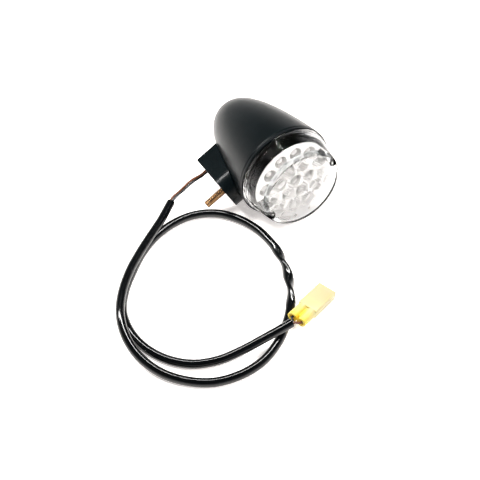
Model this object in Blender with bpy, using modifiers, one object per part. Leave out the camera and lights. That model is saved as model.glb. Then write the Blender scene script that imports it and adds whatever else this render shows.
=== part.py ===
"""Motorcycle turn signal indicator: a bullet housing with a clear LED lens, a stem with its stud,
two leads in a black sleeve and a two-way connector.

Metres, +Z up. The lamp lies on a flat surface at Z = 0 with its lens facing -Y and its stem towards -X.
Lamp pieces are modelled in the lamp's own frame and hang on the empty "lamp_frame": z runs along the
lamp's axis towards the lens, with 0 at the housing's rim; -x runs down the stem; y is the lamp's top side.
"""

from math import cos, pi, radians, sin

import bmesh
import bpy
from mathutils import Matrix, Vector

MM = 0.001
GAP = 0.3 * MM

# Housing: a bullet whose radius follows R * (1 - s ** P) ** (1 / Q), with s from 0 at the rim to 1 at the nose
RIM_RADIUS = 31.5 * MM
HOUSING_LENGTH = 72.0 * MM
BULLET_P = 1.2
BULLET_Q = 2.9
WALL = 2.6 * MM
SEAT_RADIUS = 30.2 * MM
SEAT_DEPTH = 3.0 * MM

# How the lamp lies: the lens looks up a little, and it is rolled over onto its stem
REST_TILT = radians(5.0)
REST_ROLL = radians(26.15)
RIM_CENTRE = Vector((7.2, -24.85, 31.42)) * MM

# Lens
LENS_HEIGHT = 20.6 * MM
LENS_WALL = 2.0 * MM

# Lens screws and the wells that they sit in, on the lamp's x axis
SCREW_X = 25.6 * MM
WELL_RADIUS = 3.6 * MM
WELL_BORE = 2.7 * MM
WELL_FLOOR = 9.5 * MM
WELL_FOOT = 3.2 * MM
BOSS_RADIUS = 2.5 * MM

# LEDs: an outer ring of 12 places, two of them left free for the lens screws, an inner ring of 6 and one in
# the middle
OUTER_RING = (12, 19.8 * MM, 0.0)
INNER_RING = (6, 9.6 * MM, radians(30.0))
LED_RADIUS = 2.45 * MM
BOWL_RADIUS = 4.2 * MM
BOWL_FLOOR_RADIUS = 2.95 * MM
REFLECTOR_BOTTOM = 2.5 * MM
REFLECTOR_TOP = 9.0 * MM
REFLECTOR_RADIUS = 24.6 * MM
REFLECTOR_FLANGE = 26.2 * MM
NOTCH_APEX = 15.0 * MM
BOARD_BOTTOM = -0.3 * MM
BOARD_TOP = 1.3 * MM

# Stem: a D-shaped block from its square side near the nose to its round side about the stud
STEM_END = 37.0 * MM
STEM_HALF_WIDTH = 12.6 * MM
STEM_BACK = -46.0 * MM
STUD_Z = -22.0 * MM
STUD_RADIUS = 2.45 * MM
STUD_END = 51.2 * MM
WIRE_HOLE_Y = 3.0 * MM
WIRE_HOLE_Z = -41.3 * MM
STEM_SCREW_Y = 8.0 * MM
STEM_SCREW_Z = -32.0 * MM

# Leads, sleeve and connector
WIRE_RADIUS = 0.75 * MM
WIRE_SPACING = 1.0 * MM
WIRE_BEND = ((-39.5, 13.5, 12.3), (-47.0, 11.2, 11.0))  # between the stem and the sleeve, in mm
SLEEVE_RADIUS = 2.7 * MM
CONNECTOR_CENTRE = Vector((-23.0, -103.5, 5.85)) * MM
CONNECTOR_TURN = radians(21.5)
CONNECTOR_PITCH = radians(9.5)
CONNECTOR_LENGTH = 32.0 * MM
CONNECTOR_WIDTH = 12.4 * MM
CONNECTOR_HEIGHT = 5.8 * MM
BARREL_LENGTH = 10.5 * MM
BARREL_WIDTH = 5.6 * MM
POLE_OFFSET = 3.1 * MM

# The sleeve's route over the surface, in millimetres, from the lamp to the connector
SLEEVE_ROUTE = [
    (-58.0, 6.5, 9.8),
    (-70.0, -3.0, 8.9),
    (-82.0, -11.5, 8.7),
    (-94.0, -20.5, 8.8),
    (-105.5, -30.5, 9.0),
    (-115.5, -42.0, 9.0),
    (-123.0, -55.0, 8.6),
    (-126.5, -69.5, 7.3),
    (-125.5, -84.5, 5.4),
    (-119.5, -98.5, 3.6),
    (-110.0, -109.5, 2.8),
    (-97.5, -118.0, 2.8),
    (-83.0, -121.5, 2.8),
    (-68.0, -120.5, 2.8),
    (-54.0, -114.5, 2.8),
    (-42.0, -105.5, 2.8),
    (-32.0, -94.5, 2.8),
    (-24.5, -81.5, 2.8),
    (-19.5, -67.0, 2.8),
    (-17.5, -52.0, 2.8),
    (-19.0, -37.0, 2.8),
    (-24.5, -23.0, 2.8),
    (-34.0, -11.5, 2.8),
    (-47.5, -5.0, 2.8),
    (-62.5, -4.5, 2.8),
    (-77.0, -8.5, 2.8),
    (-90.0, -16.0, 2.8),
    (-101.5, -26.0, 2.8),
    (-112.0, -37.0, 2.8),
    (-119.5, -49.5, 2.8),
    (-122.0, -64.0, 2.8),
    (-119.5, -79.0, 2.8),
    (-112.5, -92.0, 2.8),
    (-101.5, -102.0, 2.8),
    (-88.0, -107.5, 3.5),
    (-73.5, -109.5, 5.2),
    (-59.5, -110.5, 8.0),
    (-50.5, -110.4, 8.6),
    (-41.5, -109.8, 8.7),
]


def clear_scene():
    for obj in list(bpy.data.objects):
        bpy.data.objects.remove(obj, do_unlink=True)
    for group in list(bpy.data.collections):
        bpy.data.collections.remove(group)


def new_collection(name):
    group = bpy.data.collections.new(name)
    bpy.context.scene.collection.children.link(group)
    return group


def new_material(name, colour, roughness, metallic=0.0):
    material = bpy.data.materials.new(name)
    material.use_nodes = True
    shader = material.node_tree.nodes["Principled BSDF"]
    shader.inputs["Base Color"].default_value = (*colour, 1.0)
    shader.inputs["Roughness"].default_value = roughness
    shader.inputs["Metallic"].default_value = metallic
    material.diffuse_color = (*colour, 1.0)
    return material


clear_scene()
PARTS = new_collection("turn_signal_indicator")
CUTTERS = new_collection("cutters")


def lamp_matrix():
    turn = Matrix.Rotation(-REST_TILT, 4, "X") @ Matrix.Rotation(-REST_ROLL, 4, "Y")
    return Matrix.Translation(RIM_CENTRE) @ turn @ Matrix.Rotation(pi / 2, 4, "X")


LAMP = bpy.data.objects.new("lamp_frame", None)
LAMP.matrix_world = lamp_matrix()
PARTS.objects.link(LAMP)
STEM_TURN = (0.0, -pi / 2, 0.0)  # an object's own z then runs down the stem


def place(obj, material, cutter, parent, location=(0, 0, 0), rotation=(0, 0, 0)):
    """Links the object, as a part or as a hidden cutter."""
    (CUTTERS if cutter else PARTS).objects.link(obj)
    obj.parent = parent
    obj.location = location
    obj.rotation_euler = rotation
    if cutter:
        obj.hide_render = True
        obj.display_type = "WIRE"
    else:
        obj.data.materials.append(material)
    return obj


def tidy_mesh(mesh):
    """Welds the seams that a modifier or a curve leaves, and turns the faces outward."""
    work = bmesh.new()
    work.from_mesh(mesh)
    bmesh.ops.remove_doubles(work, verts=work.verts, dist=0.001 * MM)
    bmesh.ops.recalc_face_normals(work, faces=work.faces)
    work.to_mesh(mesh)
    work.free()
    mesh.shade_smooth()
    mesh.set_sharp_from_angle(angle=radians(35))
    return mesh


def evaluated_mesh(obj):
    """The mesh of a curve or of an object with modifiers; the object itself is removed."""
    PARTS.objects.link(obj)
    bpy.context.view_layer.update()
    graph = bpy.context.evaluated_depsgraph_get()
    mesh = bpy.data.meshes.new_from_object(obj.evaluated_get(graph))
    bpy.data.objects.remove(obj, do_unlink=True)
    return tidy_mesh(mesh)


def turned(name, profile, steps, material=None, ring=False, cutter=False, parent=LAMP, **at):
    """A solid turned about its own z from (radius, height) points that run down its outer side."""
    mesh = bpy.data.meshes.new(name)
    edges = [(i, i + 1) for i in range(len(profile) - 1)]
    if ring:
        edges.append((len(profile) - 1, 0))
    mesh.from_pydata([(r, 0.0, z) for r, z in profile], edges, [])
    shape = bpy.data.objects.new(name, mesh)
    screw = shape.modifiers.new("turn", "SCREW")
    screw.steps = steps
    screw.render_steps = steps
    screw.use_merge_vertices = True
    screw.merge_threshold = 0.001 * MM
    solid = bpy.data.objects.new(name, evaluated_mesh(shape))
    solid.data.name = name
    return place(solid, material, cutter, parent, **at)


def cylinder(name, radius, low, high, segments, top_radius=None, cutter=True, material=None, parent=LAMP, **at):
    """A cylinder or cone along its own z, from low to high."""
    work = bmesh.new()
    bmesh.ops.create_cone(
        work,
        cap_ends=True,
        segments=segments,
        radius1=radius,
        radius2=radius if top_radius is None else top_radius,
        depth=high - low,
        matrix=Matrix.Translation((0, 0, (low + high) / 2)),
    )
    mesh = bpy.data.meshes.new(name)
    work.to_mesh(mesh)
    work.free()
    return place(bpy.data.objects.new(name, tidy_mesh(mesh)), material, cutter, parent, **at)


def box(name, low, high, cutter=True, material=None, parent=None, **at):
    """A box between two corners."""
    low = Vector(low)
    high = Vector(high)
    work = bmesh.new()
    size = Matrix.Diagonal((*(high - low), 1.0))
    bmesh.ops.create_cube(work, size=1.0, matrix=Matrix.Translation((low + high) / 2) @ size)
    mesh = bpy.data.meshes.new(name)
    work.to_mesh(mesh)
    work.free()
    return place(bpy.data.objects.new(name, tidy_mesh(mesh)), material, cutter, parent, **at)


def prism(name, outline, low, high, material=None, cutter=False, parent=LAMP, **at):
    """A flat outline in the object's own x and y, extruded along z from low to high."""
    curve = bpy.data.curves.new(name, "CURVE")
    curve.dimensions = "2D"
    curve.fill_mode = "BOTH"
    curve.extrude = (high - low) / 2
    spline = curve.splines.new("POLY")
    spline.points.add(len(outline) - 1)
    for point, (x, y) in zip(spline.points, outline):
        point.co = (x, y, 0.0, 1.0)
    spline.use_cyclic_u = True
    mesh = evaluated_mesh(bpy.data.objects.new(name, curve))
    mesh.transform(Matrix.Translation((0, 0, (low + high) / 2)))
    mesh.name = name
    return place(bpy.data.objects.new(name, mesh), material, cutter, parent, **at)


def boolean(obj, other, operation="DIFFERENCE"):
    modifier = obj.modifiers.new(operation.lower() + "_" + other.name, "BOOLEAN")
    modifier.operation = operation
    modifier.solver = "EXACT"
    modifier.object = other
    return obj


def bevel(obj, width, segments=2):
    modifier = obj.modifiers.new("edges", "BEVEL")
    modifier.width = width
    modifier.segments = segments
    modifier.limit_method = "ANGLE"
    modifier.angle_limit = radians(40)
    return obj


def smooth_path(points, step):
    """Points about a step apart on a smooth curve through the given points (Catmull-Rom, chord length)."""
    points = [Vector(p) for p in points]
    ends = [2 * points[0] - points[1], *points, 2 * points[-1] - points[-2]]
    path = []
    for p0, p1, p2, p3 in zip(ends, ends[1:], ends[2:], ends[3:]):
        chord = (p2 - p1).length
        before = (p1 - p0).length
        after = (p3 - p2).length
        start = ((p1 - p0) / before - (p2 - p0) / (before + chord) + (p2 - p1) / chord) * chord
        finish = ((p2 - p1) / chord - (p3 - p1) / (chord + after) + (p3 - p2) / after) * chord
        count = max(1, round(chord / step))
        for i in range(count):
            t = i / count
            path.append(
                p1 * (2 * t**3 - 3 * t**2 + 1)
                + start * (t**3 - 2 * t**2 + t)
                + p2 * (3 * t**2 - 2 * t**3)
                + finish * (t**3 - t**2)
            )
    return [*path, points[-1]]


def tube(name, path, radius, material, parent=None, resolution=2):
    curve = bpy.data.curves.new(name, "CURVE")
    curve.dimensions = "3D"
    curve.bevel_depth = radius
    curve.bevel_resolution = resolution
    curve.use_fill_caps = True
    spline = curve.splines.new("POLY")
    spline.points.add(len(path) - 1)
    for point, place_at in zip(spline.points, path):
        point.co = (*place_at, 1.0)
    return place(bpy.data.objects.new(name, curve), material, False, parent)


# Housing and what fills its mouth


def bullet_radius(z, radius=RIM_RADIUS, length=HOUSING_LENGTH):
    return radius * max(0.0, 1 - (-z / length) ** BULLET_P) ** (1 / BULLET_Q)


def bullet_profile(radius, length, top, count):
    """Points down the bullet's outside, from the height top to the nose's tip."""
    first = (-top / length) ** (1 / 1.6)
    heights = [-length * (first + (1 - first) * i / count) ** 1.6 for i in range(count)]
    heights = [-length * sin(pi / 2 * -z / length) for z in heights]
    return [(bullet_radius(z, radius, length), z) for z in heights] + [(0.0, -length)]


def make_housing(material):
    outside = bullet_profile(RIM_RADIUS, HOUSING_LENGTH, -0.5 * MM, 11)
    inside = bullet_profile(RIM_RADIUS - WALL, HOUSING_LENGTH - WALL, -SEAT_DEPTH, 7)
    rim = [(SEAT_RADIUS, -SEAT_DEPTH), (SEAT_RADIUS, 0.0), (RIM_RADIUS - 0.4 * MM, 0.0)]
    housing = turned("housing", inside[::-1] + rim + outside, 40, material)
    holes = [
        (STUD_Z, 0.0, 2.9 * MM),
        (WIRE_HOLE_Z, WIRE_HOLE_Y, 2.9 * MM),
        (STEM_SCREW_Z, STEM_SCREW_Y, 1.6 * MM),
        (STEM_SCREW_Z, -STEM_SCREW_Y, 1.6 * MM),
    ]
    for i, (z, y, radius) in enumerate(holes):
        hole = cylinder(f"cut_housing_hole_{i + 1}", radius, 12 * MM, 40 * MM, 16, location=(0, y, z), rotation=STEM_TURN)
        boolean(housing, hole)
    return housing


def make_rim_gasket(material):
    top = -1.1 * MM
    bottom = -SEAT_DEPTH + GAP
    outer = SEAT_RADIUS - GAP
    inner = 28.9 * MM
    return turned("rim_gasket", [(inner, top), (outer, top), (outer, bottom), (inner, bottom)], 32, material, ring=True)


def lens_outline():
    """The lens's outer side, from its front centre down to its flange."""
    return [
        (0.0, LENS_HEIGHT),
        (13.0 * MM, LENS_HEIGHT - 0.2 * MM),
        (24.4 * MM, LENS_HEIGHT - 0.6 * MM),
        (26.0 * MM, LENS_HEIGHT - 1.2 * MM),
        (26.9 * MM, LENS_HEIGHT - 2.8 * MM),
        (30.0 * MM, 1.7 * MM),
    ]


def make_lens(material):
    skirt = 29.9 * MM
    skirt_bottom = -0.8 * MM
    flange = [(30.9 * MM, 1.6 * MM), (30.9 * MM, 0.35 * MM), (skirt, 0.35 * MM)]
    inside = [
        (skirt, skirt_bottom),
        (skirt - LENS_WALL, skirt_bottom),
        (skirt - LENS_WALL, 1.5 * MM),
        (25.2 * MM, LENS_HEIGHT - 4.2 * MM),
        (24.0 * MM, LENS_HEIGHT - 3.0 * MM),
        (0.0, LENS_HEIGHT - 2.4 * MM),
    ]
    lens = turned("lens", lens_outline() + flange + inside, 40, material)
    outline = [(max(0.0, r - 0.1 * MM), z - 0.1 * MM) for r, z in lens_outline()]
    envelope = turned("cut_lens_envelope", [*outline, (29.5 * MM, 0.0), (0.0, 0.0)], 40, cutter=True)
    for side, x in (("left", -SCREW_X), ("right", SCREW_X)):
        well = cylinder(f"cut_lens_well_{side}", WELL_RADIUS, WELL_FOOT, 24 * MM, 24, location=(x, 0, 0))
        boolean(well, envelope, "INTERSECT")
        boolean(lens, well, "UNION")
        bore = cylinder(f"cut_lens_bore_{side}", WELL_BORE, WELL_FLOOR, 24 * MM, 20, location=(x, 0, 0))
        boolean(lens, bore)
        hole = cylinder(f"cut_lens_hole_{side}", 1.6 * MM, 0.0, WELL_FLOOR + 1.6 * MM, 12, location=(x, 0, 0))
        boolean(lens, hole)
    return lens


def make_lens_screw(side, x, material):
    under_head = WELL_FLOOR + GAP
    head_top = under_head + 2.0 * MM
    head = 2.35 * MM
    shaft = 1.1 * MM
    profile = [
        (0.0, head_top - 0.7 * MM),
        (1.0 * MM, head_top - 0.7 * MM),
        (1.1 * MM, head_top),
        (head - 0.5 * MM, head_top),
        (head, head_top - 0.8 * MM),
        (head, under_head),
        (shaft, under_head),
        (shaft, -2.6 * MM),
        (0.0, -3.8 * MM),
    ]
    return turned(f"lens_screw_{side}", profile, 16, material, location=(x, 0, 0))


def make_lens_carrier(material):
    top = REFLECTOR_TOP - 1.0 * MM
    profile = [
        (25.0 * MM, top),
        (26.4 * MM, top),
        (27.5 * MM, 0.0),
        (27.5 * MM, -8.0 * MM),
        (25.8 * MM, -8.0 * MM),
        (23.3 * MM, -4.0 * MM),
        (23.3 * MM, BOARD_BOTTOM - GAP),
        (25.0 * MM, BOARD_BOTTOM - GAP),
    ]
    carrier = turned("lens_carrier", profile, 40, material, ring=True)
    envelope = cylinder("cut_carrier_envelope", 27.4 * MM, -10 * MM, 12 * MM, 48)
    for side, x in (("left", -SCREW_X), ("right", SCREW_X)):
        boss = cylinder(f"cut_carrier_boss_{side}", BOSS_RADIUS, -6 * MM, 2.6 * MM, 20, location=(x, 0, 0))
        boolean(boss, envelope, "INTERSECT")
        boolean(carrier, boss, "UNION")
        room = cylinder(f"cut_carrier_room_{side}", WELL_RADIUS + 0.35 * MM, 2.9 * MM, 12 * MM, 24, location=(x, 0, 0))
        boolean(carrier, room)
        bore = cylinder(f"cut_carrier_bore_{side}", 1.45 * MM, -9 * MM, 5 * MM, 12, location=(x, 0, 0))
        boolean(carrier, bore)
    return carrier


def ring_places(ring):
    count, radius, first = ring
    turns = [first + 2 * pi * i / count for i in range(count)]
    return [(radius * cos(turn), radius * sin(turn)) for turn in turns]


def led_places():
    """The outer ring without its two places on the x axis, then the inner ring and the middle."""
    outer = [(x, y) for x, y in ring_places(OUTER_RING) if abs(y) > MM]
    return [*outer, *ring_places(INNER_RING), (0.0, 0.0)]


def screw_notches(name, radius):
    """Two cutters that keep a disc clear of the screws."""
    sides = (("left", -SCREW_X), ("right", SCREW_X))
    return [cylinder(f"cut_{name}_{side}", radius, -5 * MM, 12 * MM, 24, location=(x, 0, 0)) for side, x in sides]


def make_reflector(material):
    under_flange = REFLECTOR_TOP - 0.7 * MM
    profile = [
        (0.0, REFLECTOR_TOP),
        (REFLECTOR_FLANGE, REFLECTOR_TOP),
        (REFLECTOR_FLANGE, under_flange),
        (REFLECTOR_RADIUS, under_flange),
        (REFLECTOR_RADIUS, REFLECTOR_BOTTOM),
        (0.0, REFLECTOR_BOTTOM),
    ]
    reflector = turned("reflector", profile, 40, material)
    slope = (BOWL_RADIUS - BOWL_FLOOR_RADIUS) / (REFLECTOR_TOP - REFLECTOR_BOTTOM)
    over = 1.0 * MM
    work = bmesh.new()
    for x, y in led_places():
        bmesh.ops.create_cone(
            work,
            cap_ends=True,
            segments=12,
            radius1=BOWL_FLOOR_RADIUS - slope * over,
            radius2=BOWL_RADIUS + slope * over,
            depth=REFLECTOR_TOP - REFLECTOR_BOTTOM + 2 * over,
            matrix=Matrix.Translation((x, y, (REFLECTOR_TOP + REFLECTOR_BOTTOM) / 2)),
        )
    mesh = bpy.data.meshes.new("cut_reflector_bowls")
    work.to_mesh(mesh)
    work.free()
    bowls = place(bpy.data.objects.new("cut_reflector_bowls", tidy_mesh(mesh)), None, True, LAMP)
    boolean(reflector, bowls)
    for side in (-1, 1):
        edge = [(NOTCH_APEX, 0.0), (19.5 * MM, 5.0 * MM), (28 * MM, 6.9 * MM)]
        outline = [(side * x, side * y) for x, y in edge] + [(side * x, -side * y) for x, y in edge[:0:-1]]
        notch = prism(f"cut_reflector_notch_{side + 1}", outline, 0.0, 12 * MM, cutter=True)
        boolean(reflector, notch)
    return reflector


def make_circuit_board(material):
    board = cylinder("circuit_board", REFLECTOR_RADIUS, BOARD_BOTTOM, BOARD_TOP, 40, cutter=False, material=material)
    for notch in screw_notches("board_notch", BOSS_RADIUS + 0.4 * MM):
        boolean(board, notch)
    return board


def make_leds(material):
    bottom = BOARD_TOP + GAP
    shoulder = bottom + 0.8 * MM
    for i, (x, y) in enumerate(led_places()):
        dome = [(LED_RADIUS * sin(a), 5.7 * MM + LED_RADIUS * cos(a)) for a in (0, pi / 4, pi / 2)]
        flange = [(LED_RADIUS, shoulder), (LED_RADIUS + 0.25 * MM, shoulder), (LED_RADIUS + 0.25 * MM, bottom)]
        turned(f"led_{i + 1:02d}", [*dome, *flange, (0.0, bottom)], 8, material, location=(x, y, 0))


def make_board_components(resistor, diode):
    """Two resistors and a diode that lie along y behind the board."""
    body = 1.15 * MM
    height = BOARD_BOTTOM - GAP - 1.3 * MM
    for name, x, length, material in (
        ("resistor_1", 8.0 * MM, 6.3 * MM, resistor),
        ("resistor_2", 12.5 * MM, 6.3 * MM, resistor),
        ("diode", 3.5 * MM, 5.0 * MM, diode),
    ):
        end = length / 2
        waist = 0.85 * body
        profile = [
            (0.0, end),
            (0.8 * body, end),
            (body, end - 0.4 * MM),
            (body, end - 1.6 * MM),
            (waist, end - 2.0 * MM),
            (waist, 2.0 * MM - end),
            (body, 1.6 * MM - end),
            (body, 0.4 * MM - end),
            (0.8 * body, -end),
            (0.0, -end),
        ]
        turned(name, profile, 12, material, location=(x, 0, height), rotation=(pi / 2, 0, 0))


# Stem and its fasteners


def make_stem(material):
    arc = [radians(-90 + 15 * i) for i in range(13)]
    outline = [(STUD_Z + STEM_HALF_WIDTH * cos(a), STEM_HALF_WIDTH * sin(a)) for a in arc]
    outline += [(STEM_BACK, STEM_HALF_WIDTH), (STEM_BACK, -STEM_HALF_WIDTH)]
    stem = prism("stem", outline, 17 * MM, STEM_END, material, rotation=STEM_TURN)
    bevel(stem, 0.8 * MM)
    saddle_profile = bullet_profile(RIM_RADIUS + 0.35 * MM, HOUSING_LENGTH + 0.35 * MM, -0.5 * MM, 11)
    saddle = turned("cut_stem_saddle", [(0.0, 0.0), (RIM_RADIUS + 0.35 * MM, 0.0), *saddle_profile], 48, cutter=True)
    boolean(stem, saddle)
    holes = [
        ("bolt", STUD_Z, 0.0, 2.8 * MM, 10 * MM, 40 * MM, 16),
        ("wires", WIRE_HOLE_Z, WIRE_HOLE_Y, 2.6 * MM, 10 * MM, 40 * MM, 16),
        ("grommet", WIRE_HOLE_Z, WIRE_HOLE_Y, 3.4 * MM, 33.6 * MM, 40 * MM, 20),
        ("screw_1", STEM_SCREW_Z, STEM_SCREW_Y, 1.6 * MM, 10 * MM, 33 * MM, 12),
        ("screw_2", STEM_SCREW_Z, -STEM_SCREW_Y, 1.6 * MM, 10 * MM, 33 * MM, 12),
    ]
    for name, z, y, radius, low, high, segments in holes:
        hole = cylinder(f"cut_stem_{name}", radius, low, high, segments, location=(0, y, z), rotation=STEM_TURN)
        boolean(stem, hole)
    return stem


def make_mounting_bolt(material):
    head_inner = 20.0 * MM
    head_outer = 23.4 * MM
    across_corners = 4.6 * MM
    bolt = cylinder(
        "mounting_bolt",
        across_corners,
        head_inner,
        head_outer,
        6,
        cutter=False,
        material=material,
        location=(0, 0, STUD_Z),
        rotation=STEM_TURN,
    )
    tip = STUD_END - 0.7 * MM
    profile = [
        (0.0, STUD_END),
        (STUD_RADIUS - 0.7 * MM, STUD_END),
        (STUD_RADIUS, tip),
        (STUD_RADIUS, head_outer - 1 * MM),
        (0.0, head_outer - 1 * MM),
    ]
    shank = turned("cut_bolt_shank", profile, 20, cutter=True, location=(0, 0, STUD_Z), rotation=STEM_TURN)
    return boolean(bolt, shank, "UNION")


def make_bolt_washer(material):
    inner = 2.8 * MM
    outer = 5.0 * MM
    near = 23.7 * MM
    far = 24.6 * MM
    profile = [(inner, far), (outer, far), (outer, near), (inner, near)]
    return turned("bolt_washer", profile, 24, material, ring=True, location=(0, 0, STUD_Z), rotation=STEM_TURN)


def make_stem_screw(number, y, material):
    under_head = 20.5 * MM
    head = 2.5 * MM
    shaft = 1.25 * MM
    profile = [
        (0.0, 32.0 * MM),
        (shaft, 30.5 * MM),
        (shaft, under_head),
        (head, under_head),
        (head, under_head - 1.2 * MM),
        (head - 0.7 * MM, under_head - 1.8 * MM),
        (0.0, under_head - 1.8 * MM),
    ]
    place_at = (0, y, STEM_SCREW_Z)
    return turned(f"stem_screw_{number}", profile, 14, material, location=place_at, rotation=STEM_TURN)


def make_grommet(material):
    inner = 2.0 * MM
    outer = 3.1 * MM
    near = 33.9 * MM
    far = STEM_END - 0.2 * MM
    profile = [(inner, far), (outer, far), (outer, near), (inner, near)]
    place_at = (0, WIRE_HOLE_Y, WIRE_HOLE_Z)
    return turned("wire_grommet", profile, 20, material, ring=True, location=place_at, rotation=STEM_TURN)


# Leads, sleeve and connector


def make_inner_wires(brown, black):
    """The two leads inside the lamp, from the board through the stem to its wire hole."""
    for name, offset, material in (("brown", WIRE_SPACING, brown), ("black", -WIRE_SPACING, black)):
        y = WIRE_HOLE_Y + offset
        z = WIRE_HOLE_Z
        route = [
            (-7.0 * MM, offset, BOARD_BOTTOM - 0.4 * MM),
            (-7.2 * MM, offset, -8.0 * MM),
            (-9.5 * MM, offset + 0.6 * WIRE_HOLE_Y, -22.0 * MM),
            (-14.5 * MM, y, z + 6.5 * MM),
            (-21.5 * MM, y, z + 0.4 * MM),
            (-28.0 * MM, y, z),
            (-STEM_END, y, z),
        ]
        tube(f"inner_wire_{name}", smooth_path(route, 3.5 * MM), WIRE_RADIUS, material, parent=LAMP)


def route_points():
    return [Vector(p) * MM for p in SLEEVE_ROUTE]


def make_outer_wires(brown, black):
    """The two leads from the wire hole to the sleeve's first end."""
    lamp = lamp_matrix()
    sleeve_start, sleeve_next = route_points()[:2]
    inward = (sleeve_next - sleeve_start).normalized()
    beside = Vector((inward.y, -inward.x, 0)).normalized()
    between = (lamp.to_3x3().col[1] + beside).normalized()
    for name, offset, material in (("brown", WIRE_SPACING, brown), ("black", -WIRE_SPACING, black)):
        beyond_face = (0.4, 2.4)
        leaving = [
            lamp @ Vector((-STEM_END - x * MM, WIRE_HOLE_Y + offset, WIRE_HOLE_Z)) for x in beyond_face
        ]
        bending = [Vector(point) * MM + way * offset for point, way in zip(WIRE_BEND, (between, beside))]
        arriving = [sleeve_start - inward * back * MM + beside * offset for back in (2.6, 0.4)]
        tube(f"wire_{name}", smooth_path([*leaving, *bending, *arriving], 2.0 * MM), WIRE_RADIUS, material)


def connector_matrix():
    turn = Matrix.Rotation(CONNECTOR_TURN, 4, "Z") @ Matrix.Rotation(CONNECTOR_PITCH, 4, "Y")
    return Matrix.Translation(CONNECTOR_CENTRE) @ turn


def make_wire_tails(brown, black):
    """The two leads from the sleeve's far end into the connector's bores."""
    connector = connector_matrix()
    rear = -CONNECTOR_LENGTH / 2
    before, sleeve_end = route_points()[-2:]
    outward = (sleeve_end - before).normalized()
    for name, side, material in (("brown", -1, brown), ("black", 1, black)):
        aside = Vector((-outward.y, outward.x, 0)).normalized() * side * WIRE_SPACING
        leaving = [sleeve_end + outward * ahead * MM + aside for ahead in (0.4, 1.8)]
        entering = [connector @ Vector((rear + x * MM, side * POLE_OFFSET, 0)) for x in (-0.6, 1.6, 4.4)]
        tube(f"wire_tail_{name}", smooth_path([*leaving, *entering], 1.2 * MM), WIRE_RADIUS, material)


def make_sleeve(material):
    return tube("cable_sleeve", smooth_path(route_points(), 9 * MM), SLEEVE_RADIUS, material, resolution=3)


def make_connector(material):
    """A two-way housing: a block with two mating slots, and a barrel behind it for each lead."""
    front = CONNECTOR_LENGTH / 2
    half_width = CONNECTOR_WIDTH / 2
    half_height = CONNECTOR_HEIGHT / 2
    barrel_end = BARREL_LENGTH - front
    at = {"location": CONNECTOR_CENTRE, "rotation": (0, CONNECTOR_PITCH, CONNECTOR_TURN)}
    low = (barrel_end, -half_width, -half_height)
    high = (front, half_width, half_height)
    connector = box("connector_housing", low, high, cutter=False, material=material, **at)
    bevel(connector, 0.5 * MM, 1)
    for side in (-1, 1):
        name = "black" if side > 0 else "brown"
        middle = side * POLE_OFFSET
        low = (-front, middle - BARREL_WIDTH / 2, 0.2 * MM - half_height)
        high = (barrel_end + 1 * MM, middle + BARREL_WIDTH / 2, half_height - 0.2 * MM)
        barrel = box(f"cut_connector_barrel_{name}", low, high, **at)
        bevel(barrel, 1.4 * MM, 2)
        boolean(connector, barrel, "UNION")
    web_low = (-front + 2.5 * MM, -1 * MM, -1.5 * MM)
    web_high = (barrel_end + 1 * MM, 1 * MM, 1.5 * MM)
    boolean(connector, box("cut_connector_web", web_low, web_high, **at), "UNION")
    for side in (-1, 1):
        name = "black" if side > 0 else "brown"
        middle = side * POLE_OFFSET
        bore = cylinder(
            f"cut_connector_bore_{name}",
            1.3 * MM,
            -front - 1 * MM,
            0.0,
            14,
            parent=None,
            location=connector_matrix() @ Vector((0, middle, 0)),
            rotation=(0, pi / 2 + CONNECTOR_PITCH, CONNECTOR_TURN),
        )
        boolean(connector, bore)
        slot_low = (-1 * MM, middle - 1.7 * MM, -1.1 * MM)
        slot_high = (front + 1 * MM, middle + 1.7 * MM, 1.1 * MM)
        boolean(connector, box(f"cut_connector_slot_{name}", slot_low, slot_high, **at))
    return connector


def make_terminals(material):
    """A crimp and a flat receptacle for each lead."""
    for side in (-1, 1):
        name = "black" if side > 0 else "brown"
        middle = side * POLE_OFFSET
        at = {"location": CONNECTOR_CENTRE, "rotation": (0, CONNECTOR_PITCH, CONNECTOR_TURN)}
        low = (0.3 * MM, middle - 1.3 * MM, -0.7 * MM)
        high = (CONNECTOR_LENGTH / 2 - 2 * MM, middle + 1.3 * MM, 0.7 * MM)
        terminal = box(f"terminal_{name}", low, high, cutter=False, material=material, **at)
        crimp = cylinder(
            f"cut_terminal_crimp_{name}",
            0.9 * MM,
            -CONNECTOR_LENGTH / 2 + 4.9 * MM,
            1.5 * MM,
            12,
            parent=None,
            location=connector_matrix() @ Vector((0, middle, 0)),
            rotation=(0, pi / 2 + CONNECTOR_PITCH, CONNECTOR_TURN),
        )
        boolean(terminal, crimp, "UNION")
        mouth_low = (CONNECTOR_LENGTH / 2 - 8 * MM, middle - 1.0 * MM, -0.35 * MM)
        mouth_high = (CONNECTOR_LENGTH / 2, middle + 1.0 * MM, 0.35 * MM)
        boolean(terminal, box(f"cut_terminal_mouth_{name}", mouth_low, mouth_high, **at))


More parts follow.
